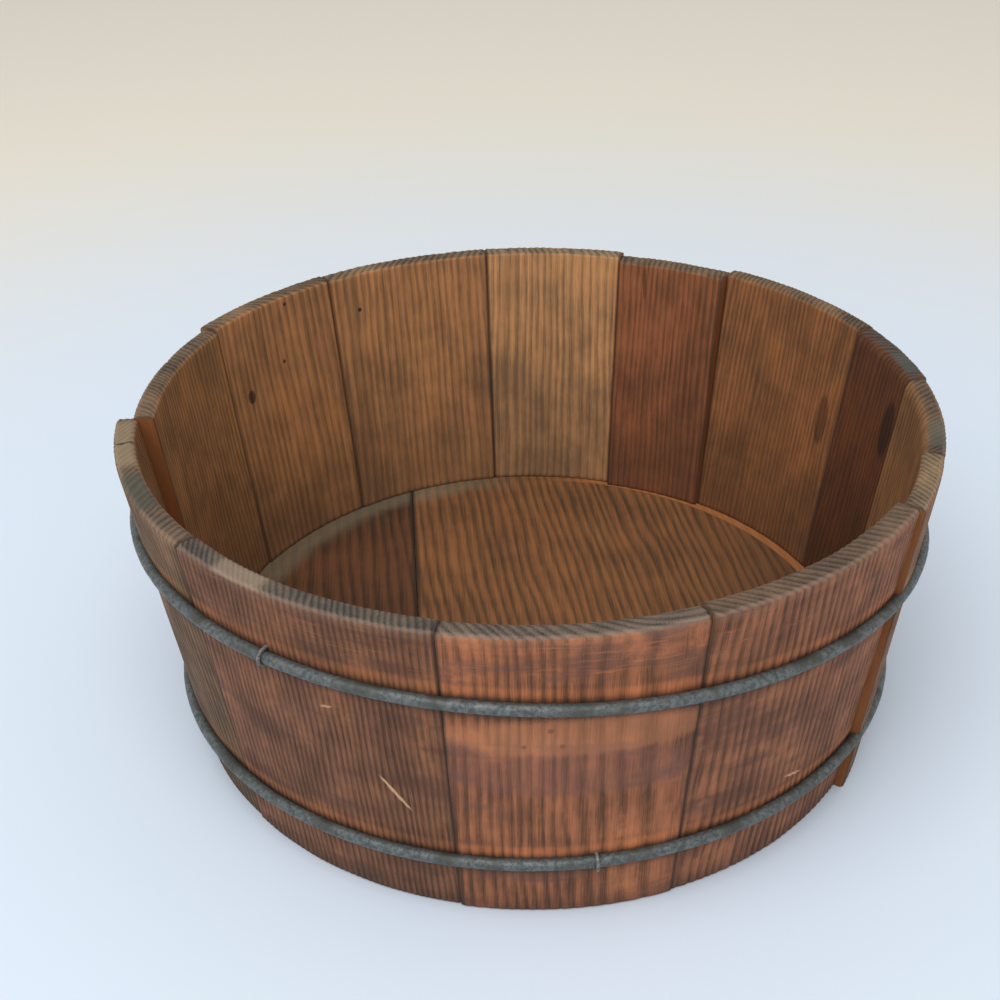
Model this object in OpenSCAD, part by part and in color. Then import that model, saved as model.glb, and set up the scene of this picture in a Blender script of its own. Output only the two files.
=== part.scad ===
// Low wooden wash bucket: thirteen tapered staves stand round a bottom of two pinned boards.
// The boards sit in a groove, the croze, and two wire hoops hold the staves together.
// Staples over the wire keep the hoops from slipping.
// The axis of the bucket is Z, the ground is z = 0, and the front of the bucket faces -Y.

/* [Bucket] */
// Diameter over the staves at the rim
rim_d = 380; // [350:5:430]
// Diameter over the staves at the ground
foot_d = 340; // [310:5:370]
// Height of the rim above the ground
rim_z = 160.5; // [140:0.5:220]
// Thickness of a stave
stave_t = 10.5; // [9.5:0.5:14]
// Gap that drying has left in a joint between two staves
joint_gap = 0.2; // [0.1:0.05:0.4]

/* [Rim and foot] */
// Rounding worn on the outer edge of the rim
rim_outer_round = 2.5; // [1:0.5:4]
// Rounding worn on the inner edge of the rim
rim_inner_round = 3.5; // [1:0.5:5]
// Rounding worn on the inner edge of the rim where hands lifted the bucket
lift_round = 7; // [4:0.5:7.5]
// Bevel on both edges of the foot
foot_bevel = 1.2; // [0.6:0.2:2]

/* [Bottom] */
// Height of the upper face of the bottom above the ground
floor_z = 20; // [17:1:40]
// Thickness of the bottom boards
board_t = 12; // [10:0.5:14]
// Thickness of the edge that is let into the croze
tongue_t = 6; // [4:0.5:8]
// Width of the bevel under the edge of the bottom
board_bevel_w = 9; // [5:1:14]
// Width of the bevel round the upper face of the bottom
top_bevel_w = 5; // [2:0.5:10]
// Drop of the upper face across that bevel
top_bevel_drop = 1; // [0.4:0.2:2]
// Depth of the croze
croze_depth = 4; // [3:0.5:5]
// Play of the bottom's edge in the croze
croze_play = 0.25; // [0.15:0.05:0.5]
// Distance from the axis to the seam between the two boards
seam_offset = 59; // [20:1:90]
// Turn of the boards from the front-to-back line, degrees
board_turn = 5; // [0:1:45]
// Gap in the seam
seam_gap = 0.3; // [0.1:0.05:0.6]

/* [Pins in the seam] */
// Number of pins
pin_count = 3; // [2:1:3]
// Diameter of a pin
pin_d = 6; // [4:0.5:7]
// Length of a pin
pin_l = 36; // [24:2:50]
// Distance between two pins
pin_pitch = 90; // [60:5:110]
// Play of a pin in its hole, on the radius and at each end
pin_play = 0.1; // [0.05:0.05:0.3]

/* [Hoops] */
// Diameter of the hoop wire
wire_d = 5.3; // [4:0.1:7]
// Depth to which a hoop is driven into the staves
hoop_bite = 0.6; // [0.5:0.1:1.2]
// Play between a hoop and its seat
seat_play = 0.1; // [0.05:0.05:0.2]
// Height of the upper hoop above the ground, at the axis
upper_hoop_z = 112; // [90:1:120]
// Height of the upper hoop's front over its middle
upper_front_lift = 13; // [0:1:16]
// Height of the upper hoop's left side over its middle
upper_left_lift = 7; // [0:1:12]
// Height of the lower hoop above the ground, at the axis
lower_hoop_z = 28; // [22:1:50]
// Height of the lower hoop's front over its middle
lower_front_lift = 6; // [0:1:12]
// Height of the lower hoop's left side over its middle
lower_left_lift = -1; // [-6:1:6]

/* [Staples] */
// Diameter of the staple wire
staple_wire_d = 1.6; // [1.2:0.1:2.2]
// Depth to which the legs reach into a stave
staple_leg = 5; // [3:0.5:6]
// Play between a staple and the hoop wire
staple_play = 0.15; // [0.1:0.05:0.4]
// Azimuth of the staple seen on the upper hoop, degrees
upper_staple_at = 236; // [225:1:255]
// Azimuth of the staple seen on the lower hoop, degrees
lower_staple_at = 278; // [262:1:286]
// Angle from there to the second staple of the same hoop, degrees
second_staple = 184; // [176:1:190]

/* [Hidden] */
$fn = 96;

// One row for each stave, counter-clockwise from the front one.
// How wide it is round the bucket in degrees, how far its foot and its rim stand out,
// how much further its last edge stands out than its first, how much shorter it is,
// how much thicker it is, and the rounding on the inner edge of its rim.
stave_rows = [
  [31.0,  0.4,  0.0,  0.0, 0.3, 0.0, rim_inner_round],
  [36.0, -0.4,  0.2,  0.0, 0.0, 1.0, rim_outer_round],
  [15.0,  2.5,  0.8, -3.0, 0.4, 0.0, rim_outer_round],
  [22.5,  0.0, -0.4,  0.0, 0.8, 0.0, lift_round],
  [18.0,  0.0,  0.2,  0.0, 0.4, 0.0, lift_round],
  [30.5,  0.0,  0.4,  0.0, 0.0, 0.0, rim_inner_round],
  [20.5, -1.0, -3.0, -2.0, 1.2, 2.0, rim_outer_round],
  [25.0,  0.0, -1.0,  1.5, 0.0, 0.0, rim_outer_round],
  [30.5,  0.2,  0.2,  0.0, 0.2, 0.0, rim_inner_round],
  [26.5,  0.4,  1.0,  0.5, 0.0, 0.0, rim_inner_round],
  [31.0,  0.4, -3.2, -3.2, 0.5, 0.0, rim_inner_round],
  [36.0,  0.4,  1.2, -2.8, 0.3, 0.0, rim_inner_round],
  [37.5, -0.3,  0.0,  0.0, 0.2, 0.5, rim_inner_round]];
// Azimuth of the first joint, at the left of the front stave
first_joint = 259;

// Each stave is cut this many degrees too wide, set in place, then planed to its two joints
spare = 4;
// Reach of the cutting wedges, beyond every stave
reach = rim_d;
// Number of faces in a worn rounding
round_steps = 6;
// Step by which a cut runs past the face that it opens
over = 1;

rim_r = rim_d / 2;
foot_r = foot_d / 2;
// Angle by which a stave leans out from the vertical
flare = atan((rim_r - foot_r) / rim_z);
// Thickness of a stave measured level
wall = stave_t / cos(flare);
wire_r = wire_d / 2;
staple_r = staple_wire_d / 2;

// Radius of the staves' outer face at a height
function outer_r(z) = foot_r + (rim_r - foot_r) * z / rim_z;

// Radius of the staves' inner face at a height
function inner_r(z) = outer_r(z) - wall;

// Sum of the first n stave widths
function turned(n) = n == 0 ? 0 : turned(n - 1) + stave_rows[n - 1][0];

// Points of an arc round a centre
function arc(centre, r, from, to) =
  [for (i = [0 : round_steps])
    centre + r * [cos(from + (to - from) * i / round_steps), sin(from + (to - from) * i / round_steps)]];

// Radius of the croze's floor, and heights of the tongue that is let into it
croze_r = inner_r(floor_z) + croze_depth;
tongue_top = floor_z - top_bevel_drop;
tongue_foot = tongue_top - tongue_t;
// Radius at which each bevel of the bottom's edge ends at the wall
top_shoulder_r = inner_r(tongue_top) - croze_play;
foot_shoulder_r = inner_r(floor_z - board_t) - croze_play;

// Half section of the bottom, grown on its faces and at its edge
function bottom_section(grow, edge_r) = [
  [0, floor_z - board_t - grow],
  [foot_shoulder_r - board_bevel_w, floor_z - board_t - grow],
  [foot_shoulder_r + grow, tongue_foot - grow],
  [edge_r, tongue_foot - grow],
  [edge_r, tongue_top + grow],
  [top_shoulder_r + grow, tongue_top + grow],
  [top_shoulder_r - top_bevel_w, floor_z + grow],
  [0, floor_z + grow]];

// Section of a stave with its worn rim and bevelled foot
function stave_section(top, thick, inner_round) =
  let (
    outer_c = [outer_r(top - rim_outer_round) - rim_outer_round / cos(flare), top - rim_outer_round],
    fitted = min(inner_round, thick - rim_outer_round - 0.5),
    inner_c = [outer_r(top - fitted) - thick + fitted / cos(flare), top - fitted],
    bevel_out = outer_r(foot_bevel))
  concat(
    [[outer_r(0) - foot_bevel, 0], [bevel_out, foot_bevel]],
    arc(outer_c, rim_outer_round, -flare, 90),
    arc(inner_c, fitted, 90, 180 - flare),
    [[bevel_out - thick, foot_bevel], [outer_r(0) - thick + foot_bevel, 0]]);

// Wedge between the two joints of a stave, less half the gap at each
module joint_wedge(from, width) {
  half_gap = joint_gap / (rim_r + foot_r) * 180 / PI;
  a = from + half_gap;
  b = from + width - half_gap;
  linear_extrude(rim_z + over)
    polygon([[0, 0], reach * [cos(a), sin(a)], reach * [cos(b), sin(b)]]);
}

// Sector of a stave's ring, moved to where the real stave stands
module set_stave(row, middle) {
  width = row[0];
  foot_out = row[1];
  rim_out = row[2];
  chord = 2 * rim_r * sin(width / 2);
  lean = atan((rim_out - foot_out) / rim_z);
  yaw = -atan(row[3] / chord);
  rotate([0, 0, middle])
    translate([foot_r + foot_out, 0, 0])
      rotate([0, lean, yaw])
        translate([-foot_r, 0, 0])
          rotate([0, 0, -width / 2 - spare])
            rotate_extrude(angle = width + 2 * spare)
              polygon(stave_section(rim_z - row[4], wall + row[5], row[6]));
}

// Height gained per millimetre along X and along Y by a hoop that sits out of level
function hoop_slope(z, front_lift, left_lift) = [-left_lift, -front_lift] / outer_r(z);

// Places a child in the plane of a hoop, at the hoop's centre
module in_hoop_plane(z, slope) {
  steep = norm(slope);
  drift = hoop_r(z, slope) * tan(flare) * slope;
  translate([drift[0], drift[1], z + steep * norm(drift)])
    rotate(a = atan(steep), v = [slope[1], -slope[0], steep == 0 ? 1 : 0])
      children();
}

// Radius of the circle of a hoop's wire: it hugs the taper, and a tilt makes it a little larger
function hoop_r(z, slope) =
  (outer_r(z) + (wire_r - hoop_bite) / cos(flare)) * (1 + slope * slope / 4);

// Wire ring of a hoop, grown on its radius for the seat in the staves
module hoop_ring(z, front_lift, left_lift, grow = 0) {
  slope = hoop_slope(z, front_lift, left_lift);
  in_hoop_plane(z, slope)
    rotate_extrude()
      translate([hoop_r(z, slope), 0])
        circle(wire_r + grow);
}

// Staple astride a hoop's wire: a half ring with two pointed legs driven into the wood
module staple(z, front_lift, left_lift, at, grow = 0) {
  slope = hoop_slope(z, front_lift, left_lift);
  crown_r = wire_r + staple_play + staple_r;
  leg = staple_leg + wire_r - hoop_bite;
  point = 1.5 * staple_wire_d;
  in_hoop_plane(z, slope)
    rotate([0, 0, at])
      translate([hoop_r(z, slope), 0, 0])
        rotate([90, flare, 0]) {
          rotate([0, 0, -90])
            rotate_extrude(angle = 180)
              translate([crown_r, 0])
                circle(staple_r + grow);
          for (side = [-1, 1])
            translate([0, side * crown_r, 0])
              rotate([0, -90, 0]) {
                cylinder(r = staple_r + grow, h = leg - point);
                translate([0, 0, leg - point])
                  cylinder(r1 = staple_r + grow, r2 = 0.2 + grow, h = point + grow);
              }
        }
}

// Both staples of a hoop
module staple_pair(z, front_lift, left_lift, at, grow = 0) {
  for (turn = [0, second_staple])
    staple(z, front_lift, left_lift, at + turn, grow);
}

module upper_ring(grow = 0) hoop_ring(upper_hoop_z, upper_front_lift, upper_left_lift, grow);

module lower_ring(grow = 0) hoop_ring(lower_hoop_z, lower_front_lift, lower_left_lift, grow);

module upper_pair(grow = 0)
  staple_pair(upper_hoop_z, upper_front_lift, upper_left_lift, upper_staple_at, grow);

module lower_pair(grow = 0)
  staple_pair(lower_hoop_z, lower_front_lift, lower_left_lift, lower_staple_at, grow);

// A stave: its ring sector, planed to its joints, with the croze, the hoop seats and staple holes
module stave(number) {
  row = stave_rows[number - 1];
  from = first_joint + turned(number - 1);
  color(number % 2 == 0 ? "sienna" : "peru")
    difference() {
      intersection() {
        set_stave(row, from + row[0] / 2);
        joint_wedge(from, row[0]);
      }
      rotate_extrude() polygon(bottom_section(croze_play, croze_r));
      upper_ring(seat_play);
      lower_ring(seat_play);
      upper_pair(seat_play);
      lower_pair(seat_play);
    }
}

// Row of pins across the seam, or their holes when grown
module pin_row(grow = 0) {
  for (i = [0 : pin_count - 1])
    translate([-seam_offset, (i - (pin_count - 1) / 2) * pin_pitch, floor_z - board_t / 2])
      rotate([0, 90, 0])
        cylinder(d = pin_d + 2 * grow, h = pin_l + 2 * grow, center = true);
}

// Bottom disc with its bevelled edge, on one side of the seam
module half_bottom(side) {
  rotate([0, 0, board_turn])
    difference() {
      intersection() {
        rotate_extrude() polygon(bottom_section(0, croze_r - croze_play));
        translate([side > 0 ? -seam_offset + seam_gap / 2 : -seam_offset - seam_gap / 2 - reach, -reach, 0])
          cube([reach, 2 * reach, rim_z]);
      }
      pin_row(pin_play);
    }
}

module bottom_board_wide() color("burlywood") half_bottom(1);

module bottom_board_narrow() color("saddlebrown") half_bottom(-1);

module bottom_pins() color("tan") rotate([0, 0, board_turn]) pin_row();

module upper_hoop() color("slategray") upper_ring();

module lower_hoop() color("slategray") lower_ring();

module upper_hoop_staples() color("dimgray") upper_pair();

module lower_hoop_staples() color("dimgray") lower_pair();

stave(1);  // stave_01
stave(2);  // stave_02
stave(3);  // stave_03
stave(4);  // stave_04
stave(5);  // stave_05
stave(6);  // stave_06
stave(7);  // stave_07
stave(8);  // stave_08
stave(9);  // stave_09
stave(10);  // stave_10
stave(11);  // stave_11
stave(12);  // stave_12
stave(13);  // stave_13
bottom_board_wide();
bottom_board_narrow();
bottom_pins();
upper_hoop();
lower_hoop();
upper_hoop_staples();
lower_hoop_staples();
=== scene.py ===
import math

import bmesh
import bpy
from mathutils import Matrix, Vector


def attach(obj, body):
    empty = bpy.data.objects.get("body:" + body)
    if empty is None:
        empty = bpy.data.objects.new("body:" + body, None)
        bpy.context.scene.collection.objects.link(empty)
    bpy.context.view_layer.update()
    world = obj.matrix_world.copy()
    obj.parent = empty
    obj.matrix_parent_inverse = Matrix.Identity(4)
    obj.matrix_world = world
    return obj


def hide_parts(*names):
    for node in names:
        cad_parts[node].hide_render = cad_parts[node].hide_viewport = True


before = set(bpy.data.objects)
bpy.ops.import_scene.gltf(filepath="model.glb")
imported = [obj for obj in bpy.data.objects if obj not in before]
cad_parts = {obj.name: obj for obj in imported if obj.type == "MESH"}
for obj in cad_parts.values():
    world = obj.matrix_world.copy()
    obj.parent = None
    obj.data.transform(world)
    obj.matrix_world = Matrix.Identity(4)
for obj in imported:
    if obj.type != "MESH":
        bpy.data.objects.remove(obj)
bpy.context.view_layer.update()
scene = bpy.context.scene
print("frame: loaded", len(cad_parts), "nodes")

# Everything below is in millimetres until a mesh gets its place
millimetre = 0.001

bucket = {
    "footRadius": 170.0,
    "rimRadius": 190.0,
    "rimHeight": 160.5,
    "staveThick": 10.5,
    "jointGap": 0.2,
    "firstJoint": 259.0,
    "outerRound": 2.5,
    "footBevel": 1.2,
    "crozeDepth": 4.0,
    "crozePlay": 0.25,
}
bucket["slope"] = (bucket["rimRadius"] - bucket["footRadius"]) / bucket["rimHeight"]
bucket["wall"] = bucket["staveThick"] * math.hypot(1, bucket["slope"])


def outerRadius(height):
    return bucket["footRadius"] + bucket["slope"] * height


# Nodes written as sums and products


class Formula:
    # One output of a node. Arithmetic on it adds further nodes.
    def __init__(self, bench, socket):
        self.bench = bench
        self.socket = socket

    def __add__(self, other):
        return self.bench.calc("ADD", self, other)

    def __radd__(self, other):
        return self.bench.calc("ADD", other, self)

    def __sub__(self, other):
        return self.bench.calc("SUBTRACT", self, other)

    def __rsub__(self, other):
        return self.bench.calc("SUBTRACT", other, self)

    def __mul__(self, other):
        return self.bench.calc("MULTIPLY", self, other)

    def __rmul__(self, other):
        return self.bench.calc("MULTIPLY", other, self)

    def __truediv__(self, other):
        return self.bench.calc("DIVIDE", self, other)


class NodeBench:
    # Puts nodes into one tree, of geometry or of a material
    def __init__(self, tree):
        self.tree = tree

    def feed(self, socket, value):
        if isinstance(value, Formula):
            self.tree.links.new(value.socket, socket)
        else:
            socket.default_value = value

    def add(self, kind, inputs=None, output=0, **settings):
        made = self.tree.nodes.new(kind)
        for name, value in settings.items():
            setattr(made, name, value)
        for name, value in (inputs or {}).items():
            self.feed(made.inputs[name], value)
        return Formula(self, made.outputs[output])

    def calc(self, operation, *values, clamp=False):
        return self.add("ShaderNodeMath", dict(enumerate(values)), operation=operation, use_clamp=clamp)

    def vector(self, x, y, z):
        return self.add("ShaderNodeCombineXYZ", {0: x, 1: y, 2: z})

    def parts(self, vector):
        split = self.add("ShaderNodeSeparateXYZ", {0: vector}).socket.node
        return [Formula(self, split.outputs[i]) for i in range(3)]

    # A value's way from low to high, as a soft step or a straight one
    def step(self, value, low, high, start=0.0, end=1.0, soft=True):
        inputs = {"Value": value, "From Min": low, "From Max": high, "To Min": start, "To Max": end}
        kind = "SMOOTHSTEP" if soft else "LINEAR"
        return self.add("ShaderNodeMapRange", inputs, interpolation_type=kind)

    # One inside a band that fades over its edges, and nought outside
    def band(self, value, low, high, fade):
        return self.step(value, low - fade, low + fade) * self.step(value, high - fade, high + fade, 1.0, 0.0)

    def noise(self, place, scale=1.0, detail=2.0, rough=0.5, warp=0.0):
        inputs = {"Vector": place, "Scale": scale, "Detail": detail, "Roughness": rough, "Distortion": warp}
        return self.add("ShaderNodeTexNoise", inputs)

    def mix(self, share, first, second, how="MIX"):
        inputs = {0: share, 6: first, 7: second}
        return self.add("ShaderNodeMix", inputs, output=2, data_type="RGBA", blend_type=how)

    # One of a list of values, by a counting number
    def pick(self, number, values, kind="FLOAT"):
        chooser = self.add("GeometryNodeIndexSwitch", data_type=kind).socket.node
        while len(chooser.index_switch_items) < len(values):
            chooser.index_switch_items.new()
        self.feed(chooser.inputs["Index"], number)
        for i, value in enumerate(values):
            self.feed(chooser.inputs[str(i)], value)
        return Formula(self, chooser.outputs[0])

    def store(self, geometry, name, value, kind="FLOAT", domain="POINT"):
        inputs = {"Geometry": geometry, "Name": name, "Value": value}
        return self.add("GeometryNodeStoreNamedAttribute", inputs, data_type=kind, domain=domain)

    def stored(self, name, kind="FLOAT"):
        return self.add("GeometryNodeInputNamedAttribute", {"Name": name}, data_type=kind)


# A new geometry tree with one named number for each size, and a material
def openTree(name, sizes):
    tree = bpy.data.node_groups.new(name, "GeometryNodeTree")
    tree.interface.new_socket("Geometry", in_out="OUTPUT", socket_type="NodeSocketGeometry")
    for size, usual in sizes.items():
        tree.interface.new_socket(size, in_out="INPUT", socket_type="NodeSocketFloat").default_value = usual
    tree.interface.new_socket("Material", in_out="INPUT", socket_type="NodeSocketMaterial")
    bench = NodeBench(tree)
    entry = tree.nodes.new("NodeGroupInput")
    given = {size: Formula(bench, entry.outputs[size]) for size in [*sizes, "Material"]}
    return bench, given


def closeTree(bench, geometry, material):
    whole = bench.add("GeometryNodeRealizeInstances", {"Geometry": geometry})
    painted = bench.add("GeometryNodeSetMaterial", {"Geometry": whole, "Material": material})
    leave = bench.tree.nodes.new("NodeGroupOutput")
    bench.feed(leave.inputs[0], painted)
    return bench.tree


# Grows a tree into a plain mesh that rides on the bucket in place of its solid
def growPiece(name, tree, values, node):
    seedling = bpy.data.objects.new(name + "Seedling", bpy.data.meshes.new(name))
    scene.collection.objects.link(seedling)
    grow = seedling.modifiers.new("grow", "NODES")
    grow.node_group = tree
    for item in tree.interface.items_tree:
        if item.in_out == "INPUT" and item.name in values:
            grow[item.identifier] = values[item.name]
    graph = bpy.context.evaluated_depsgraph_get()
    mesh = bpy.data.meshes.new_from_object(
        seedling.evaluated_get(graph), preserve_all_data_layers=True, depsgraph=graph)
    bpy.data.objects.remove(seedling)
    mesh.name = name
    shell = bmesh.new()
    shell.from_mesh(mesh)
    bmesh.ops.recalc_face_normals(shell, faces=shell.faces)
    shell.to_mesh(mesh)
    shell.free()
    return keepPiece(name, mesh, node)


def keepPiece(name, mesh, node):
    piece = bpy.data.objects.new(name, mesh)
    scene.collection.objects.link(piece)
    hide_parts(node)
    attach(piece, "root")
    return piece


# A closed loop of rows, straight between corners, drawn with a finer step where it is on the rim
def drawLoop(bench, across, along, rounds, roundRows, rowCuts):
    index = bench.add("GeometryNodeInputIndex")
    line = bench.add("GeometryNodeCurvePrimitiveLine", {"End": (1, 0, 0)})
    line = bench.add("GeometryNodeResampleCurve", {"Curve": line, "Count": len(across)})
    loop = bench.add("GeometryNodeSetSplineCyclic", {"Geometry": line, "Cyclic": True})
    corner = bench.vector(bench.pick(index, across), bench.pick(index, along), 0.0)
    loop = bench.add("GeometryNodeSetPosition", {"Geometry": loop, "Position": corner})
    if rounds:
        inputs = {"Curve": loop, "Radius": bench.pick(index, rounds), "Limit Radius": True}
        inputs["Count"] = bench.pick(index, roundRows, "INT")
        loop = bench.add("GeometryNodeFilletCurve", inputs, mode="POLY")
    total = bench.add("GeometryNodeAttributeDomainSize", {"Geometry": loop}, component="CURVE")
    here = bench.add("GeometryNodeInputPosition")
    after = {"Value": here, "Index": bench.calc("MODULO", index + 1, total)}
    there = bench.add("GeometryNodeFieldAtIndex", after, data_type="FLOAT_VECTOR", domain="POINT")
    loop = bench.add("GeometryNodeSubdivideCurve", {"Curve": loop, "Cuts": rowCuts(here, there)})
    return bench.store(loop, "section", here, "FLOAT_VECTOR")


# Sweeps a loop over a number of columns and closes both ends
def sweepLoop(bench, loop, columns):
    line = bench.add("GeometryNodeCurvePrimitiveLine", {"End": (1, 0, 0)})
    line = bench.add("GeometryNodeResampleCurve", {"Curve": line, "Count": columns})
    line = bench.store(line, "share", bench.add("GeometryNodeSplineParameter"))
    swept = {"Curve": line, "Profile Curve": loop, "Fill Caps": True}
    return bench.add("GeometryNodeCurveToMesh", swept)


# Shades everything smooth apart from the two end faces, and marks those for the material
def finishSweep(bench, solid, place):
    moved = bench.add("GeometryNodeSetPosition", {"Geometry": solid, "Position": place})
    isEnd = bench.calc("GREATER_THAN", bench.add("GeometryNodeInputMeshFaceNeighbors"), 4.5)
    marked = bench.store(moved, "endFace", isEnd, domain="FACE")
    smooth = {"Geometry": marked, "Shade Smooth": bench.calc("LESS_THAN", isEnd, 0.5)}
    return bench.add("GeometryNodeSetShadeSmooth", smooth)


# Number of the year ring that a point of the wood lies in, from how far it is from the tree's heart
def yearRing(bench, given, across, deep, height):
    leaning = across + given["Grain Slope"] * height
    fromHeart = bench.calc("POWER", leaning - given["Heart Across"], 2.0)
    fromHeart = fromHeart + bench.calc("POWER", deep - given["Heart Deep"], 2.0)
    fromHeart = bench.calc("SQRT", fromHeart)
    seed = given["Seed"]
    bend = bench.noise(bench.vector(leaning * 0.022 + seed, deep * 0.022, height * 0.009), 1.0, 2.0)
    uneven = bench.noise(bench.vector(fromHeart * 0.055, seed, 0.0), 1.0, 1.0)
    bent = fromHeart + (bend - 0.5) * given["Ring Wander"]
    return bent / given["Ring Pitch"] + (uneven - 0.5) * 2.2


# Height of the worn wood over a ring: hard summer wood stands up and spring wood is worn away
def ringCrest(bench, ring):
    within = bench.calc("POWER", bench.calc("FRACT", ring), 1.5)
    return bench.calc("SINE", within * math.pi)


woodSizes = {
    "Heart Across": -60.0, "Heart Deep": -200.0, "Ring Pitch": 2.4, "Ring Wander": 6.0,
    "Grain Slope": 0.0, "Seed": 1.0,
}

staveSizes = {
    "From": 0.0, "Width": 30.0, "Foot Radius": 170.0, "Rim Radius": 190.0, "Rim Height": 160.5,
    "Wall": 10.6, "Foot Out": 0.0, "Rim Out": 0.0, "Twist": 0.0, "Shorter": 0.0, "Thicker": 0.0,
    "Outer Round": 2.5, "Inner Round": 3.5, "Foot Bevel": 1.2, "Joint Gap": 0.2,
    "Croze Top": 19.2, "Croze Foot": 12.8, "Croze Radius": 165.9,
    "Outer Ridge": 0.2, "Inner Ridge": 0.2, "Rim Ridge": 0.3, "Chips": 0.6,
    "Column Step": 0.45, "Row Step": 1.8, "Rim Step": 0.5,
}


# A stave: a section with worn edges and a croze, swept between its two joints
def makeStaveTree():
    bench, given = openTree("staveTree", {**staveSizes, **woodSizes})
    slope = (given["Rim Radius"] - given["Foot Radius"]) / given["Rim Height"]
    wall = given["Wall"] + given["Thicker"]
    top = given["Rim Height"] - given["Shorter"]

    def outerAt(height):
        return given["Foot Radius"] + slope * height

    crozeTop = given["Croze Top"]
    crozeFoot = given["Croze Foot"]
    across = [outerAt(0.0), outerAt(top), outerAt(top) - wall, outerAt(crozeTop) - wall,
              given["Croze Radius"], given["Croze Radius"], outerAt(crozeFoot) - wall, outerAt(0.0) - wall]
    along = [0.0, top, top, crozeTop, crozeTop, crozeFoot, crozeFoot, 0.0]
    edge = 0.3
    rounds = [given["Foot Bevel"], given["Outer Round"], given["Inner Round"], edge, edge, edge, edge,
              given["Foot Bevel"]]

    def rowCuts(here, there):
        length = bench.add("ShaderNodeVectorMath", {0: here, 1: there}, output="Value", operation="DISTANCE")
        heights = bench.parts(here)[1] + bench.parts(there)[1]
        onRim = bench.calc("GREATER_THAN", heights, top * 2 - 1.0)
        stepHere = given["Row Step"] + onRim * (given["Rim Step"] - given["Row Step"])
        return bench.calc("FLOOR", length / stepHere)

    loop = drawLoop(bench, across, along, rounds, [1, 6, 9, 1, 1, 1, 1, 1], rowCuts)
    width = given["Width"] * math.radians(1)
    solid = sweepLoop(bench, loop, bench.calc("CEIL", width * given["Rim Radius"] / given["Column Step"]))

    radius, height, unused = bench.parts(bench.stored("section", "FLOAT_VECTOR"))
    share = bench.stored("share")
    deep = outerAt(height) - radius
    toInner = wall - deep
    toTop = top - height
    fromMiddle = (share - 0.5) * width * radius
    toJoint = bench.calc("MINIMUM", share, 1 - share) * width * radius
    seed = given["Seed"]
    ring = yearRing(bench, given, fromMiddle, deep, height)
    valley = 1 - ringCrest(bench, ring)

    # How far a point belongs to the outer face, the inner face and the rim
    onOuter = bench.step(deep, 0.3, 3.0, 1.0, 0.0)
    onInner = bench.step(toInner, 0.3, 3.0, 1.0, 0.0)
    onRim = bench.step(toTop, 0.2, 2.2, 1.0, 0.0)
    inCroze = bench.step(toInner, 0.0, bucket["crozeDepth"]) * bench.step(deep, 3.0, 5.0)
    inCroze = inCroze * bench.step(height, crozeTop + 0.1, crozeTop + 0.3, 1.0, 0.0)
    inCroze = inCroze * bench.step(height, crozeFoot - 0.3, crozeFoot - 0.1)

    # Wear: furrows between the rings, blunt joint edges, slow unevenness and chips at the rim
    weather = bench.noise(bench.vector(fromMiddle * 0.03 + seed, deep * 0.05, height * 0.02), 1.0, 3.0)
    weather = bench.step(weather, 0.25, 0.7, 0.55, 1.25)
    blunt = bench.calc("POWER", bench.step(toJoint, 0.0, 1.3, 1.0, 0.0, soft=False), 2.0) * 0.45
    uneven = bench.noise(bench.vector(fromMiddle * 0.03, deep * 0.03 + seed, height * 0.014), 1.0, 2.0) * 0.7
    crumbs = bench.noise(bench.vector(fromMiddle * 0.3 + seed, deep * 0.3, height * 0.22), 1.0, 3.0, 0.6)
    atCorner = bench.step(toTop, 0.5, 5.0, 1.0, 0.0) * bench.step(deep, 0.5, 5.0, 1.0, 0.0)
    chip = bench.step(crumbs, 0.52, 0.72) * atCorner * given["Chips"]
    rough = bench.noise(bench.vector(fromMiddle * 1.1, deep * 0.5, seed), 1.0, 3.0, 0.65) * 0.35
    sag = bench.noise(bench.vector(fromMiddle * 0.05, seed * 3.1, 0.0), 1.0, 2.0) * 0.8

    fromOuter = onOuter * (valley * given["Outer Ridge"] * weather + blunt + uneven) + chip
    fromInner = onInner * (valley * given["Inner Ridge"] * weather + blunt + uneven)
    fromTop = onRim * (valley * given["Rim Ridge"] + blunt + rough + sag) + chip * 0.7
    out = given["Foot Out"] + (given["Rim Out"] - given["Foot Out"]) * height / given["Rim Height"]
    out = (out + given["Twist"] * (share - 0.5)) * (1 - inCroze)
    finalRadius = (radius - fromOuter + fromInner + out) * millimetre
    finalHeight = (height - fromTop) * millimetre
    gapTurn = given["Joint Gap"] / (given["Rim Radius"] + given["Foot Radius"])
    turn = given["From"] * math.radians(1) + gapTurn + share * (width - gapTurn * 2)
    place = bench.vector(
        finalRadius * bench.calc("COSINE", turn), finalRadius * bench.calc("SINE", turn), finalHeight)

    solid = bench.store(solid, "place", bench.vector(fromMiddle, deep, height), "FLOAT_VECTOR")
    solid = bench.store(solid, "ring", ring)
    solid = bench.store(solid, "toJoint", toJoint)
    solid = bench.store(solid, "rim", onRim)
    return closeTree(bench, finishSweep(bench, solid, place), given["Material"])


boardSizes = {
    "From": -59.0, "To": 165.0, "Edge Radius": 165.9, "Top Radius": 156.5, "Top Shoulder": 161.5,
    "Top Drop": 1.0, "Under Radius": 151.5, "Under Shoulder": 160.5, "Under Rise": 5.0,
    "Upper Face": 20.0, "Thickness": 12.0, "Turn": 5.0, "Ridge": 0.35, "Column Step": 0.6, "Rows": 80.0,
}


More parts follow.
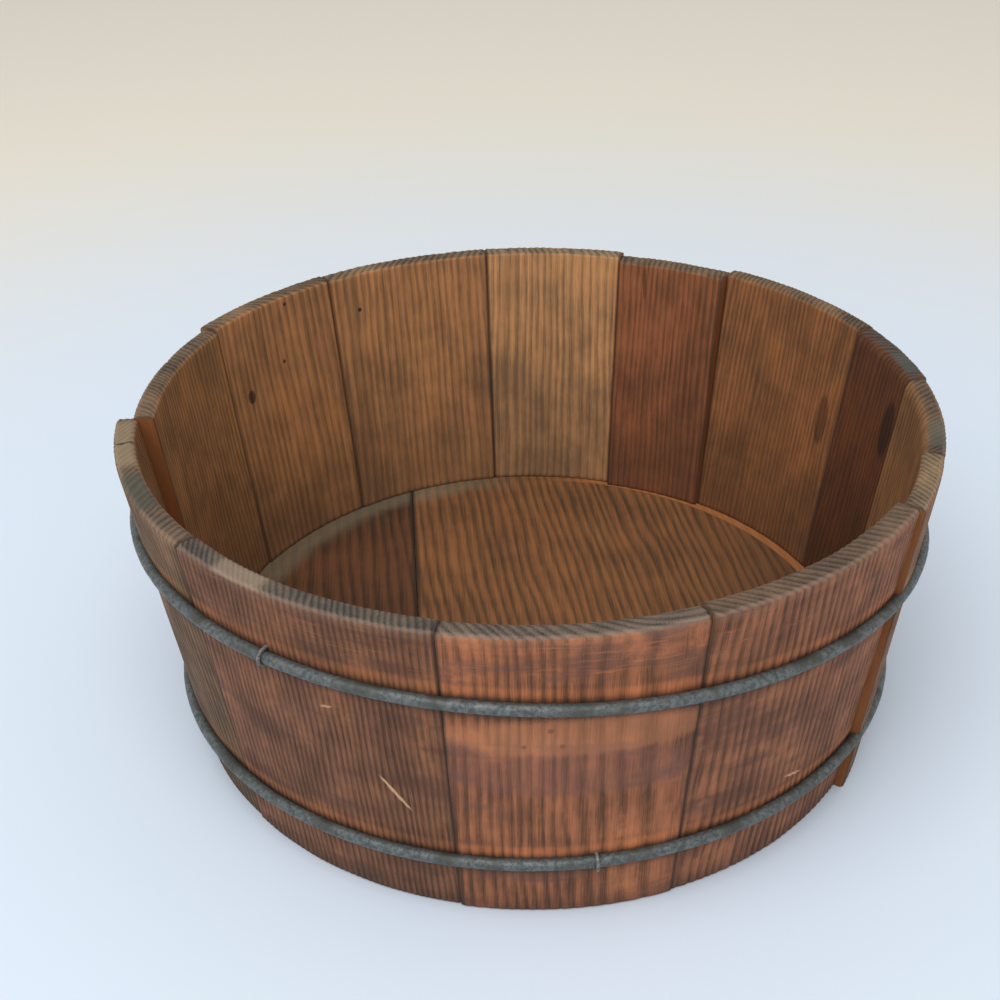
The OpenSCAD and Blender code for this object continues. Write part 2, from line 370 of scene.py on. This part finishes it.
# A bottom board: one side of the seam, bevelled above and below to the tongue that sits in the croze
def makeBoardTree():
    bench, given = openTree("boardTree", {**boardSizes, **woodSizes})

    def rowCuts(here, there):
        length = bench.add("ShaderNodeVectorMath", {0: here, 1: there}, output="Value", operation="DISTANCE")
        isLong = bench.calc("GREATER_THAN", length, 1.5)
        return 1 + isLong * given["Rows"]

    loop = drawLoop(bench, [-1.0, -1.0, 1.0, 1.0], [0.0, 1.0, 1.0, 0.0], None, None, rowCuts)
    span = bench.calc("ABSOLUTE", given["To"] - given["From"])
    solid = sweepLoop(bench, loop, bench.calc("CEIL", span / given["Column Step"]))

    way, upper, unused = bench.parts(bench.stored("section", "FLOAT_VECTOR"))
    share = bench.stored("share")
    across = given["From"] + share * (given["To"] - given["From"])
    chord = bench.calc("POWER", given["Edge Radius"], 2.0) - bench.calc("POWER", across, 2.0)
    chord = bench.calc("SQRT", bench.calc("MAXIMUM", chord, 1.0))
    along = bench.calc("SINE", way * (math.pi / 2)) * chord
    radius = bench.calc("SQRT", bench.calc("POWER", across, 2.0) + bench.calc("POWER", along, 2.0))
    seed = given["Seed"]
    ring = yearRing(bench, given, across, (1 - upper) * given["Thickness"], along)
    valley = 1 - ringCrest(bench, ring)
    weather = bench.noise(bench.vector(across * 0.02 + seed, along * 0.02, 0.0), 1.0, 3.0)
    weather = bench.step(weather, 0.3, 0.7, 0.6, 1.2)
    uneven = bench.noise(bench.vector(across * 0.02, along * 0.01, seed), 1.0, 2.0) * 0.5
    toSeam = bench.calc("ABSOLUTE", across - given["From"])
    blunt = bench.calc("POWER", bench.step(toSeam, 0.0, 1.6, 1.0, 0.0, soft=False), 2.0) * 0.6
    wear = valley * given["Ridge"] * weather + uneven + blunt
    topBevel = bench.step(radius, given["Top Radius"], given["Top Shoulder"], soft=False)
    underBevel = bench.step(radius, given["Under Radius"], given["Under Shoulder"], soft=False)
    topFace = given["Upper Face"] - given["Top Drop"] * topBevel - wear * (1 - topBevel * 0.7)
    underFace = given["Upper Face"] - given["Thickness"] + given["Under Rise"] * underBevel
    level = underFace + (topFace - underFace) * upper
    turn = given["Turn"] * math.radians(1)
    cosine = bench.calc("COSINE", turn)
    sine = bench.calc("SINE", turn)
    place = bench.vector(
        (across * cosine - along * sine) * millimetre,
        (across * sine + along * cosine) * millimetre,
        level * millimetre)

    solid = bench.store(solid, "place", bench.vector(across, along, level), "FLOAT_VECTOR")
    solid = bench.store(solid, "ring", ring)
    solid = bench.store(solid, "toJoint", toSeam)
    return closeTree(bench, finishSweep(bench, solid, place), given["Material"])


hoopSizes = {
    "Level": 112.0, "Slope X": 0.0, "Slope Y": 0.0, "Wire Radius": 2.65, "Bite": 0.6,
    "Foot Radius": 170.0, "Rim Radius": 190.0, "Rim Height": 160.5,
    "Points": 720.0, "Sides": 16.0, "Waver": 0.5, "Dents": 0.16, "Seed": 3.0,
}


# A hoop: round wire that follows the taper of the staves, a little wavy and dented
def makeHoopTree():
    bench, given = openTree("hoopTree", hoopSizes)
    slope = (given["Rim Radius"] - given["Foot Radius"]) / given["Rim Height"]
    circle = bench.add("GeometryNodeCurvePrimitiveCircle", {"Resolution": given["Points"], "Radius": 1.0})
    index = bench.add("GeometryNodeInputIndex")
    turn = index / given["Points"] * (2 * math.pi)
    cosine = bench.calc("COSINE", turn)
    sine = bench.calc("SINE", turn)
    tilt = (given["Slope X"] * cosine + given["Slope Y"] * sine) * (given["Foot Radius"] + slope * given["Level"])
    height = given["Level"] + tilt
    seed = given["Seed"]
    waver = bench.noise(bench.vector(cosine * 2.2 + seed, sine * 2.2, 0.0), 1.0, 2.0) - 0.95
    lift = bench.noise(bench.vector(cosine * 2.6, sine * 2.6 + seed, 0.0), 1.0, 2.0) - 0.5
    reach = (given["Wire Radius"] - given["Bite"]) * bench.calc("SQRT", slope * slope + 1)
    radius = given["Foot Radius"] + slope * height + reach + waver * given["Waver"]
    path = bench.vector(radius * cosine, radius * sine, height + lift * given["Waver"] * 2)
    circle = bench.add("GeometryNodeSetPosition", {"Geometry": circle, "Position": path})
    circle = bench.store(circle, "run", turn * given["Rim Radius"])
    ringInputs = {"Resolution": given["Sides"], "Radius": given["Wire Radius"]}
    section = bench.add("GeometryNodeCurvePrimitiveCircle", ringInputs)
    section = bench.store(section, "round", bench.add("GeometryNodeSplineParameter"))
    wire = bench.add("GeometryNodeCurveToMesh", {"Curve": circle, "Profile Curve": section})
    here = bench.add("GeometryNodeInputPosition")
    dent = bench.step(bench.noise(here, 0.35, 2.0), 0.45, 0.75) * given["Dents"]
    normal = bench.add("GeometryNodeInputNormal")
    inward = bench.add("ShaderNodeVectorMath", {0: normal, 3: dent * -1}, operation="SCALE")
    wire = bench.add("GeometryNodeSetPosition", {"Geometry": wire, "Offset": inward})
    small = bench.add("ShaderNodeVectorMath", {0: here, 3: millimetre}, operation="SCALE")
    wire = bench.add("GeometryNodeSetPosition", {"Geometry": wire, "Position": small})
    wire = bench.add("GeometryNodeSetShadeSmooth", {"Geometry": wire, "Shade Smooth": True})
    return closeTree(bench, wire, given["Material"])


# Materials


# The light that a colour of 0 to 255 stands for
def colour(red, green, blue):
    def linear(value):
        share = value / 255
        return share / 12.92 if share <= 0.04045 else ((share + 0.055) / 1.055) ** 2.4
    return (linear(red), linear(green), linear(blue), 1.0)


# A colour brought up or down, with a little less blue where it is brought up
def tinted(mean, lift):
    red, green, blue = mean
    warm = (lift - 1) * 0.35
    return colour(min(250, red * (lift + warm * 0.3)), green * lift, blue * (lift - warm * 0.5))


def openMaterial(name):
    material = bpy.data.materials.new(name)
    material.use_nodes = True
    material.node_tree.nodes.clear()
    return material, NodeBench(material.node_tree)


def closeMaterial(bench, baseColour, roughness, bumpHeight, bumpDeep, metallic=0.0, shine=0.3):
    normal = bench.add("ShaderNodeBump", {"Height": bumpHeight, "Strength": 0.7, "Distance": bumpDeep * millimetre})
    surface = bench.add("ShaderNodeBsdfPrincipled", {
        "Base Color": baseColour, "Roughness": roughness, "Metallic": metallic,
        "Specular IOR Level": shine, "Normal": normal})
    leave = bench.tree.nodes.new("ShaderNodeOutputMaterial")
    bench.feed(leave.inputs["Surface"], surface)


# A soft-edged oval on the wood, turned by some degrees, from 1 at its middle to 0 outside
def spot(bench, across, height, place, ragged):
    turn = math.radians(place.get("turn", 0))
    x = across - place["across"]
    y = height - place["height"]
    along = (x * math.cos(turn) + y * math.sin(turn)) / place["half"][0]
    over = (y * math.cos(turn) - x * math.sin(turn)) / place["half"][1]
    far = bench.calc("SQRT", along * along + over * over)
    return bench.step(far + (ragged - 0.5) * place.get("ragged", 0.5), 0.75, 1.1, 1.0, 0.0) * place["share"]


# Distance in height from a hoop's line, at the outer face
def fromHoop(bench, x, y, z, hoop):
    return z - (x * hoop["slope"][0] + y * hoop["slope"][1] + hoop["level"])


hoops = {
    "upper": {"level": 112.0, "slope": (-7 / outerRadius(112), -13 / outerRadius(112))},
    "lower": {"level": 28.0, "slope": (1 / outerRadius(28), -6 / outerRadius(28))},
}

fibreOrange = colour(160, 100, 54)
fibreBrown = colour(104, 62, 34)
# A dark colour: dirt in the joints and seams, darkening at the foot and on the bottom boards, and painted shadow
# below the hoops
dirtAndShade = colour(52, 40, 33)
blotchBrown = (108, 68, 52)


# Weathered wood: light worn ring crests over dark furrows, stained in blotches, other tints at each face
def woodMaterial(name, look):
    material, bench = openMaterial(name)
    placed = bench.add("ShaderNodeAttribute", attribute_name="place", output=1)
    ring = bench.add("ShaderNodeAttribute", attribute_name="ring", output=2)
    toJoint = bench.add("ShaderNodeAttribute", attribute_name="toJoint", output=2)
    endFace = bench.add("ShaderNodeAttribute", attribute_name="endFace", output=2)
    rim = bench.add("ShaderNodeAttribute", attribute_name="rim", output=2)
    across, deep, height = bench.parts(placed)
    body = bench.add("ShaderNodeTexCoord", output=3)
    x, y, z = [part * 1000 for part in bench.parts(body)]
    seed = look["seed"]
    red, green, blue = look["outer"]
    warmed = (red * 1.04, green * 0.97, blue * 0.82)

    crest = ringCrest(bench, ring)
    fibres = bench.noise(bench.vector(across * 1.3 + seed, deep * 1.3, height * 0.035), 1.0, 4.0, 0.65)
    hairs = bench.noise(bench.vector(across * 5.0, deep * 5.0 + seed, height * 0.12), 1.0, 3.0, 0.6)
    clouds = bench.noise(bench.vector(across * 0.045 + seed, deep * 0.05, height * 0.035), 1.0, 4.0, 0.6)
    bands = bench.noise(bench.vector(across * 0.018, seed, height * 0.075), 1.0, 3.0, 0.6)
    grains = bench.noise(bench.vector(across * 1.9, deep * 1.9 + seed, height * 1.2), 1.0, 3.0, 0.7)

    light = crest * 0.42 + (fibres - 0.5) * 1.3 + (clouds - 0.5) * 1.3 + (hairs - 0.5) * 0.6
    light = bench.step(light, -0.35, 0.9)
    inner = bench.step(deep, 4.6, 5.8)

    # The outer face, with its stains, the bands the hoops have rubbed above them and painted shadow below each hoop
    outer = bench.mix(light, tinted(warmed, 0.56), tinted(warmed, 1.12))
    stained = bench.step(bands + (fibres - 0.5) * 0.3, 0.5, 0.66) * 0.6
    outer = bench.mix(stained, outer, tinted(look.get("blotch", blotchBrown), 0.8))
    bleached = bench.step(clouds + (grains - 0.5) * 0.25, 0.56, 0.74) * 0.35
    outer = bench.mix(bleached, outer, tinted(warmed, 1.3))
    for hoop in hoops.values():
        away = fromHoop(bench, x, y, z, hoop)
        # Painted shadow: a dark band just below each hoop, where the wire shades the staves
        shade = bench.band(away, -8.0, 1.5, 3.0) * (0.45 + grains * 0.5)
        rubbed = bench.band(away, 4.2, 8.5, 1.6) * (light * 0.3 + 0.1)
        outer = bench.mix(shade, outer, dirtAndShade)
        outer = bench.mix(rubbed, outer, tinted(warmed, 1.4))
    rubs = bench.noise(bench.vector(across * 0.05, seed, height * 1.1), 1.0, 3.0, 0.6)
    rubs = bench.step(rubs, 0.55, 0.75) * bench.band(height, 139.0, 158.0, 3.0) * 0.4
    outer = bench.mix(rubs, outer, tinted(warmed, 1.3))
    foot = bench.step(z + (grains - 0.5) * 6, 2.0, 13.0, 0.4, 0.0)
    outer = bench.mix(foot, outer, dirtAndShade)

    # The inner face, lighter at the top and darkened low down by painted shade
    inside = bench.mix(light, tinted(look["inner"], 0.72), tinted(look["inner"], 1.18))
    streaked = bench.noise(bench.vector(across * 0.16, seed, height * 0.006), 1.0, 3.0, 0.6)
    inside = bench.mix(bench.step(streaked, 0.5, 0.72) * 0.4, inside, tinted(look["inner"], 0.7))
    # Painted shade: the inner face darkens towards the bottom of the bucket
    low = bench.step(height + (clouds - 0.5) * 60, 20.0, 110.0, 0.45, 0.0)
    inside = bench.mix(low, inside, tinted(look["inner"], 0.55))
    wood = bench.mix(inner, outer, inside)

    # The rim: end grain that the weather has bleached and hands have darkened
    rays = bench.noise(bench.vector(across * 2.6 + seed, deep * 0.5, 0.0), 1.0, 4.0, 0.7)
    endGrain = bench.step(crest * 0.25 + rays * 0.9 + (clouds - 0.5) * 0.9, 0.25, 0.95)
    rimColour = bench.mix(endGrain, tinted(look["rim"], 0.46), tinted(look["rim"], 0.98))
    wood = bench.mix(rim, wood, rimColour)
    # Pale line along the outer top edge: wear, and a painted highlight where the rounded edge faces up
    arrisWearAndHighlight = bench.band(deep, 0.2, 2.2, 0.9) * bench.step(height, 153.5, 157.5) * (grains * 0.5)
    wood = bench.mix(arrisWearAndHighlight, wood, colour(176, 150, 132))

    # Dirt in the joints, bare wood on their planed faces, and marks of use
    wood = bench.mix(bench.step(toJoint, 0.2, 1.8, 0.75, 0.0), wood, dirtAndShade)
    bare = bench.mix(fibres, fibreBrown, fibreOrange)
    wood = bench.mix(endFace, wood, bare)
    for place in look.get("spots", []):
        mask = spot(bench, across, height, place, grains)
        where = {"outer": 1 - inner, "inner": inner, "rim": rim}[place.get("on", "outer")]
        wood = bench.mix(mask * where, wood, colour(*place["colour"]))

    roughness = bench.step(light, 0.0, 1.0, 0.86, 0.6)
    closeMaterial(bench, wood, roughness, fibres * 0.6 + hairs * 0.4, 0.5)
    return material


# Old galvanised wire: blue-grey, rubbed bright in places, with dull green-grey and dark patches
def wireMaterial(name, look):
    material, bench = openMaterial(name)
    body = bench.add("ShaderNodeTexCoord", output=3)
    x, y, z = [part * 1000 for part in bench.parts(body)]
    place = bench.vector(x, y, z)
    broad = bench.noise(place, 0.05, 4.0, 0.6)
    fine = bench.noise(place, 0.55, 4.0, 0.65)
    specks = bench.noise(place, 1.8, 3.0, 0.7)
    metal = bench.mix(bench.step(fine, 0.35, 0.65), colour(*look["dull"]), colour(*look["clean"]))
    metal = bench.mix(bench.step(broad, 0.5, 0.66) * 0.6, metal, colour(*look["patina"]))
    metal = bench.mix(bench.step(specks, 0.6, 0.72) * 0.75, metal, colour(*look["dark"]))
    metal = bench.mix(bench.step(broad + fine * 0.3, 0.66, 0.78) * 0.5, metal, colour(*look["dark"]))
    roughness = bench.step(fine, 0.3, 0.7, 0.62, 0.4)
    closeMaterial(bench, metal, roughness, specks * 0.5 + fine * 0.5, 0.25, look["metallic"], 0.5)
    return material


# The staves, counter-clockwise from the front one: their shape as in the frame, and their looks
staves = [
    {"width": 31, "footOut": 0.4, "shorter": 0.3, "innerRound": 3.5, "outer": (150, 100, 78),
     "inner": (124, 84, 54), "rim": (122, 104, 88), "heart": (55, 60), "pitch": 3.6, "ridge": 0.24,
     "slant": 0.03, "blotch": (122, 84, 72), "spots": [
         {"across": -8.6, "height": 111.3, "half": (1.4, 1.4), "share": 0.9, "colour": (40, 26, 20)},
         {"across": -4.0, "height": 102.7, "half": (1.3, 1.3), "share": 0.9, "colour": (40, 26, 20)},
         {"across": -18.8, "height": 102.6, "half": (1.2, 1.2), "share": 0.9, "colour": (40, 26, 20)},
         {"across": 5, "height": 107, "half": (60, 11), "share": 0.4, "colour": (186, 124, 88)},
         {"across": 0, "height": 86, "half": (60, 13), "share": 0.4, "colour": (116, 78, 70)}]},
    {"width": 36, "footOut": -0.4, "rimOut": 0.2, "thicker": 1, "innerRound": 2.5, "outer": (138, 94, 76),
     "inner": (124, 84, 54), "rim": (124, 98, 76), "heart": (-220, -130), "pitch": 3.4, "ridge": 0.36,
     "slant": 0.02, "spots": [
         {"across": 3, "height": 45.5, "half": (5.5, 0.8), "turn": -14, "share": 0.8, "ragged": 0.2,
          "colour": (206, 166, 128)}]},
    {"width": 15, "footOut": 2.5, "rimOut": 0.8, "twist": -3, "shorter": 0.4, "innerRound": 2.5,
     "outer": (134, 100, 78), "inner": (126, 88, 56), "rim": (152, 124, 92), "heart": (180, -120),
     "pitch": 2.8, "ridge": 0.26, "slant": -0.02},
    {"width": 22.5, "rimOut": -0.4, "shorter": 0.8, "innerRound": 7, "outer": (128, 92, 74),
     "inner": (132, 94, 60), "rim": (122, 96, 72), "heart": (-160, -150), "pitch": 2.7, "ridge": 0.22,
     "slant": 0.01, "spots": [
         {"across": -17.5, "height": 158, "half": (13, 9), "share": 0.6, "on": "rim",
          "colour": (92, 92, 80)}]},
    {"width": 18, "rimOut": 0.2, "shorter": 0.4, "innerRound": 7, "outer": (126, 90, 72),
     "inner": (96, 58, 36), "rim": (100, 84, 70), "heart": (170, -90), "pitch": 3.0, "ridge": 0.2,
     "slant": 0.02, "spots": [
         {"across": -11.6, "height": 158, "half": (12, 8), "share": 0.65, "on": "rim",
          "colour": (78, 84, 80)},
         {"across": -19.6, "height": 127.5, "half": (7, 16), "share": 0.7, "on": "inner",
          "colour": (34, 24, 20)}]},
    {"width": 30.5, "rimOut": 0.4, "innerRound": 3.5, "outer": (128, 90, 70), "inner": (142, 94, 58),
     "rim": (140, 110, 78), "heart": (-240, -60), "pitch": 2.8, "ridge": 0.18, "slant": 0.015, "spots": [
         {"across": -33.3, "height": 103.3, "half": (5, 15), "share": 0.55, "on": "inner",
          "colour": (44, 30, 22)}]},
    {"width": 20.5, "footOut": -1, "rimOut": -3, "twist": -2, "shorter": 1.2, "thicker": 2,
     "innerRound": 2.5, "outer": (122, 82, 64), "inner": (138, 86, 56), "rim": (136, 106, 76),
     "heart": (190, 60), "pitch": 3.2, "ridge": 0.08, "slant": 0.0, "spots": [
         {"across": 15.2, "height": 147.7, "half": (1.2, 10), "turn": -4, "share": 0.6, "on": "inner",
          "colour": (54, 34, 24)}]},
    {"width": 25, "rimOut": -1, "twist": 1.5, "innerRound": 2.5, "outer": (134, 94, 72),
     "inner": (178, 132, 90), "rim": (156, 126, 92), "heart": (-260, -110), "pitch": 4.0, "ridge": 0.34,
     "slant": 0.01},
    {"width": 30.5, "footOut": 0.2, "rimOut": 0.2, "shorter": 0.2, "innerRound": 3.5,
     "outer": (130, 92, 72), "inner": (164, 116, 76), "rim": (144, 114, 82), "heart": (210, -160),
     "pitch": 3.4, "ridge": 0.16, "slant": 0.01, "spots": [
         {"across": 30.6, "height": 138.6, "half": (1.3, 1.3), "share": 0.9, "on": "inner",
          "colour": (38, 24, 18)}]},
    {"width": 26.5, "footOut": 0.4, "rimOut": 1, "twist": 0.5, "innerRound": 3.5, "outer": (128, 90, 70),
     "inner": (160, 112, 72), "rim": (140, 110, 80), "heart": (-190, -170), "pitch": 3.3, "ridge": 0.15,
     "slant": 0.01, "spots": [
         {"across": 24.2, "height": 114.2, "half": (3, 4), "share": 0.8, "on": "inner",
          "colour": (38, 24, 18)},
         {"across": -11.2, "height": 154.8, "half": (1.1, 1.1), "share": 0.9, "on": "inner",
          "colour": (38, 24, 18)},
         {"across": -3.7, "height": 124.2, "half": (1.1, 1.1), "share": 0.9, "on": "inner",
          "colour": (38, 24, 18)}]},
    {"width": 31, "footOut": 0.4, "rimOut": -3.2, "twist": -3.2, "shorter": 0.5, "innerRound": 3.5,
     "outer": (120, 86, 66), "inner": (146, 104, 66), "rim": (130, 104, 78), "heart": (230, -100),
     "pitch": 3.0, "ridge": 0.18, "slant": 0.01},
    {"width": 36, "footOut": 0.4, "rimOut": 1.2, "twist": -2.8, "shorter": 0.3, "innerRound": 3.5,
     "outer": (112, 87, 68), "inner": (136, 96, 62), "rim": (120, 98, 78), "heart": (-210, -190),
     "pitch": 3.0, "ridge": 0.12, "slant": 0.0, "blotch": (86, 66, 54), "spots": [
         {"across": -33.6, "height": 158, "half": (23, 12), "share": 0.5, "on": "rim",
          "colour": (166, 144, 114)},
         {"across": -33.6, "height": 158, "half": (0.8, 12), "share": 0.8, "on": "rim",
          "colour": (48, 36, 28)},
         {"across": 11, "height": 158, "half": (17, 12), "share": 0.65, "on": "rim",
          "colour": (74, 76, 66)}]},
    {"width": 37.5, "footOut": -0.3, "shorter": 0.2, "thicker": 0.5, "innerRound": 3.5,
     "outer": (122, 85, 68), "inner": (124, 84, 54), "rim": (118, 102, 86), "heart": (-230, -150),
     "pitch": 2.4, "ridge": 0.26, "slant": -0.02, "spots": [
         {"across": 35, "height": 67, "half": (11, 0.9), "turn": -56, "share": 0.8, "ragged": 0.15,
          "colour": (206, 166, 124)},
         {"across": 10.4, "height": 108.3, "half": (3, 0.7), "turn": 12, "share": 0.7, "ragged": 0.2,
          "colour": (196, 156, 118)},
         {"across": -25, "height": 158, "half": (14, 8), "share": 0.45, "on": "rim",
          "colour": (170, 148, 126)}]},
]

crozeTop = 19.0 + bucket["crozePlay"]
crozeFoot = 13.0 - bucket["crozePlay"]
crozeRadius = outerRadius(19.0 - 3.0) - bucket["wall"] + bucket["crozeDepth"]
staveTree = makeStaveTree()
start = bucket["firstJoint"]
for count, stave in enumerate(staves, start=1):
    name = "stave_" + str(count).zfill(2)
    stave["seed"] = 7.3 * count
    sizes = {
        "From": start, "Width": stave["width"], "Foot Radius": bucket["footRadius"],
        "Rim Radius": bucket["rimRadius"], "Rim Height": bucket["rimHeight"], "Wall": bucket["wall"],
        "Foot Out": stave.get("footOut", 0), "Rim Out": stave.get("rimOut", 0),
        "Twist": stave.get("twist", 0), "Shorter": stave.get("shorter", 0),
        "Thicker": stave.get("thicker", 0), "Outer Round": bucket["outerRound"],
        "Inner Round": stave["innerRound"], "Foot Bevel": bucket["footBevel"],
        "Joint Gap": bucket["jointGap"], "Croze Top": crozeTop, "Croze Foot": crozeFoot,
        "Croze Radius": crozeRadius, "Outer Ridge": stave["ridge"], "Inner Ridge": stave["ridge"] * 0.8,
        "Rim Ridge": 0.35, "Chips": 0.7, "Column Step": 0.6, "Row Step": 2.0, "Rim Step": 0.6,
        "Heart Across": stave["heart"][0], "Heart Deep": stave["heart"][1], "Ring Pitch": stave["pitch"],
        "Ring Wander": 7.0, "Grain Slope": stave["slant"], "Seed": stave["seed"],
    }
    values = {key: float(value) for key, value in sizes.items()}
    values["Material"] = woodMaterial("wood_" + name, stave)
    growPiece("worn_" + name, staveTree, values, name)
    start += stave["width"]
print("staves: grown", len(staves))

boards = [
    {"name": "bottom_board_wide", "from": -58.85, "to": 165.0, "seed": 3.0, "outer": (96, 66, 44),
     "inner": (122, 82, 50), "rim": (110, 74, 46)},
    {"name": "bottom_board_narrow", "from": -59.15, "to": -165.0, "seed": 11.0, "outer": (84, 58, 40),
     "inner": (92, 60, 38), "rim": (84, 56, 36)},
]

boardTree = makeBoardTree()


# Bottom boards: broad ridges, darker towards one side, dust along the wall and a dark seam
def boardMaterial(name, look):
    material, bench = openMaterial(name)
    placed = bench.add("ShaderNodeAttribute", attribute_name="place", output=1)
    ring = bench.add("ShaderNodeAttribute", attribute_name="ring", output=2)
    toSeam = bench.add("ShaderNodeAttribute", attribute_name="toJoint", output=2)
    across, along, level = bench.parts(placed)
    seed = look["seed"]
    radius = bench.calc("SQRT", across * across + along * along)
    fibres = bench.noise(bench.vector(across * 1.1 + seed, along * 0.03, level), 1.0, 4.0, 0.65)
    clouds = bench.noise(bench.vector(across * 0.02 + seed, along * 0.02, 0.0), 1.0, 4.0, 0.6)
    grains = bench.noise(bench.vector(across * 1.4, along * 1.1, seed), 1.0, 3.0, 0.7)
    light = ringCrest(bench, ring) * 0.45 + (fibres - 0.5) * 1.2 + (clouds - 0.5) * 1.1
    light = bench.step(light, -0.3, 0.9)
    wood = bench.mix(light, tinted(look["inner"], 0.68), tinted(look["inner"], 1.2))
    # The boards grow darker towards one side of the bottom
    darkerSide = bench.step(across - along * 0.5 + (clouds - 0.5) * 120, 40.0, 170.0) * 0.6
    wood = bench.mix(darkerSide, wood, dirtAndShade)
    dusty = bench.step(radius + (clouds - 0.5) * 14, 143.0, 156.0) * bench.step(across, -40.0, 20.0, 1.0, 0.0)
    wood = bench.mix(dusty * (0.25 + grains * 0.4), wood, colour(132, 126, 104))
    bevel = bench.step(radius, 156.4, 157.6) * bench.step(across, 20.0, 60.0) * 0.5
    wood = bench.mix(bevel, wood, tinted(look["inner"], 1.6))
    wood = bench.mix(bench.step(toSeam, 0.3, 2.6, 0.85, 0.0), wood, dirtAndShade)
    under = bench.step(level, 9.0, 15.0, 0.35, 0.0)
    wood = bench.mix(under, wood, colour(*look["outer"]))
    closeMaterial(bench, wood, bench.step(light, 0.0, 1.0, 0.85, 0.65), fibres, 0.5)
    return material


for board in boards:
    values = {"From": board["from"], "To": board["to"], "Edge Radius": crozeRadius - 0.3, "Heart Across": -300.0,
              "Heart Deep": -220.0, "Ring Pitch": 4.6, "Ring Wander": 9.0, "Grain Slope": 0.07,
              "Column Step": 0.75, "Rows": 90.0, "Seed": board["seed"]}
    values["Material"] = boardMaterial("wood_" + board["name"], board)
    growPiece("worn_" + board["name"], boardTree, values, board["name"])
print("bottom: grown", len(boards))

galvanised = {"dull": (70, 76, 77), "clean": (104, 110, 110), "patina": (84, 86, 76),
              "dark": (44, 45, 43), "metallic": 0.3}
bright = {"dull": (84, 86, 84), "clean": (128, 130, 126), "patina": (92, 90, 80),
          "dark": (50, 49, 46), "metallic": 0.35}
hoopMetal = wireMaterial("hoop_metal", galvanised)
stapleMetal = wireMaterial("staple_metal", bright)
hoopTree = makeHoopTree()
for name, hoop in hoops.items():
    values = {"Level": hoop["level"], "Slope X": hoop["slope"][0], "Slope Y": hoop["slope"][1],
              "Seed": hoop["level"], "Material": hoopMetal}
    growPiece("worn_" + name + "_hoop", hoopTree, values, name + "_hoop")
print("hoops: grown", len(hoops))


# The pins and the staples keep their solids and get a material
def pinMaterial():
    material, bench = openMaterial("pin_split_wood")
    body = bench.add("ShaderNodeTexCoord", output=3)
    x, y, z = [part * 1000 for part in bench.parts(body)]
    fibres = bench.noise(bench.vector(x * 0.06, y * 1.6, z * 1.6), 1.0, 4.0, 0.6)
    wood = bench.mix(bench.step(fibres, 0.3, 0.7), colour(140, 98, 60), colour(196, 154, 104))
    closeMaterial(bench, wood, 0.7, fibres, 0.3)
    return material


carried = {"bottom_pins": pinMaterial(), "upper_hoop_staples": stapleMetal, "lower_hoop_staples": stapleMetal}
for name, material in carried.items():
    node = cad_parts[name]
    for place in node.material_slots:
        place.material = material
print("carried over:", len(carried))

# The room is left out: a plain pale floor, one broad soft light high in front and an even sky
floorMesh = bpy.data.meshes.new("floor")
half = 4.0
corners = [(-half, -half, 0), (half, -half, 0), (half, half, 0), (-half, half, 0)]
floorMesh.from_pydata(corners, [], [(0, 1, 2, 3)])
floor = bpy.data.objects.new("floor", floorMesh)
scene.collection.objects.link(floor)
floorMaterial, bench = openMaterial("pale_floor")
body = bench.add("ShaderNodeTexCoord", output=3)
x, y, z = bench.parts(body)
way = bench.step(bench.calc("SQRT", x * x + y * y), 0.35, 1.1)
pale = bench.mix(way, colour(219, 232, 247), colour(240, 235, 222))
closeMaterial(bench, pale, 0.8, bench.noise(body, 60.0, 2.0), 0.1, 0.0, 0.2)
floor.data.materials.append(floorMaterial)

light = {"size": 2.2, "place": (-0.35, -1.15, 1.9), "power": 34.0, "sky": 0.62}
lamp = bpy.data.lights.new("softLight", "AREA")
lamp.shape = "DISK"
lamp.size = light["size"]
lamp.energy = light["power"]
lampHolder = bpy.data.objects.new("softLight", lamp)
scene.collection.objects.link(lampHolder)
lampHolder.location = light["place"]
aim = Vector((0, 0, 0.05)) - Vector(light["place"])
lampHolder.rotation_euler = aim.to_track_quat("-Z", "Y").to_euler()
world = bpy.data.worlds.new("evenSky")
world.use_nodes = True
sky = world.node_tree.nodes["Background"]
sky.inputs["Color"].default_value = (1.0, 0.985, 0.96, 1.0)
sky.inputs["Strength"].default_value = light["sky"]
scene.world = world
scene.view_settings.view_transform = "Standard"

# The camera stands where the photograph's camera stood, found from the rim, the foot and the hoops
view = {"place": (-2.614, -587.139, 460.348), "down": 31.427, "yaw": -1.2225, "roll": -1.4034, "lens": 50.375}
down = math.radians(view["down"])
yaw = math.radians(view["yaw"])
roll = math.radians(view["roll"])
forward = Vector((math.sin(yaw) * math.cos(down), math.cos(yaw) * math.cos(down), -math.sin(down)))
level = Vector((math.cos(yaw), -math.sin(yaw), 0))
upright = level.cross(forward)
right = level * math.cos(roll) + upright * math.sin(roll)
up = upright * math.cos(roll) - level * math.sin(roll)
cameraData = bpy.data.cameras.new("photoCamera")
cameraData.sensor_width = 36.0
cameraData.lens = view["lens"]
camera = bpy.data.objects.new("photoCamera", cameraData)
scene.collection.objects.link(camera)
turned = Matrix((right, up, -forward)).transposed().to_4x4()
camera.matrix_world = Matrix.Translation(Vector(view["place"]) * millimetre) @ turned
scene.camera = camera
